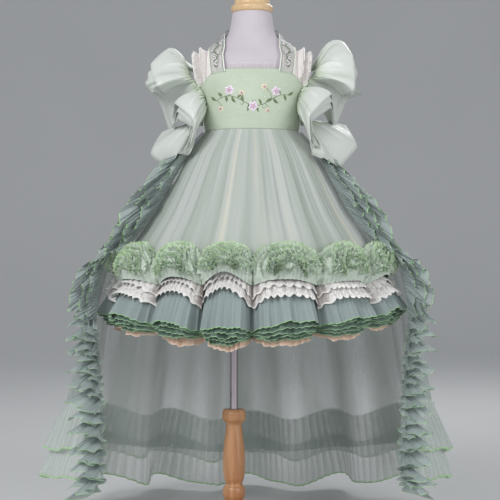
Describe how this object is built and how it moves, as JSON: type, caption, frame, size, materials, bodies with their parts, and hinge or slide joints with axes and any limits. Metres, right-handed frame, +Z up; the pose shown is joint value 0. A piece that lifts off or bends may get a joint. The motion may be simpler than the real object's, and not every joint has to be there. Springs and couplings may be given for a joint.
{
  "type": "evening gown on a dress form",
  "caption": "Child's evening gown with a short bunched and ruffled skirt, a long open train and stiff shoulder ruffles, worn by a limbless dress form on a turned stand.",
  "frame": {"origin": "centre of the stand's base on its underside, on the floor", "axes": "+Z up along the stand's pole; the gown's front faces -Y and its train falls behind towards +Y; +X is the viewer's right from the front"},
  "size_m": [0.8483, 0.7993, 1.06],
  "materials": {
    "Sage crepe": "matt woven crepe",
    "Cream mesh": "fine pleated net",
    "Embroidered ribbon": "sheer ribbon with stitched edges",
    "Pale green satin": "stiff soft-sheen satin",
    "Skirt tulle": "layered net",
    "Green tulle": "gathered net",
    "Grey green tulle": "pleated net",
    "Cream lace": "corded lace",
    "Blush petticoat net": "stiff net",
    "Form jersey": "stretched jersey",
    "Pale beech": "satin varnish",
    "Turned beech": "satin varnish",
    "Chrome": "polished tube"
  },
  "bodies": {
    "root": {"base": "Turned beech", "bodice_back_left": "Sage crepe", "bodice_back_right": "Sage crepe", "bodice_front": "Sage crepe", "cascade_left_outer": "Green tulle", "cascade_left_under": "Green tulle", "cascade_right_outer": "Green tulle", "cascade_right_under": "Green tulle", "column": "Turned beech", "form_body": "Form jersey", "halter_left": "Embroidered ribbon", "halter_right": "Embroidered ribbon", "hem_tier_lower": "Grey green tulle", "hem_tier_upper": "Grey green tulle", "lace": "Cream lace", "neck_cap": "Pale beech", "petticoat": "Blush petticoat net", "pole": "Chrome", "pouf": "Green tulle", "ruffle": "Grey green tulle", "shoulder_left_outer": "Pale green satin", "shoulder_left_under": "Pale green satin", "shoulder_right_outer": "Pale green satin", "shoulder_right_under": "Pale green satin", "skirt": "Skirt tulle", "train_panel": "Grey green tulle", "under_ruffle": "Green tulle", "yoke_centre": "Cream mesh", "yoke_left": "Cream mesh", "yoke_right": "Cream mesh"}
  },
  "joints": []
}
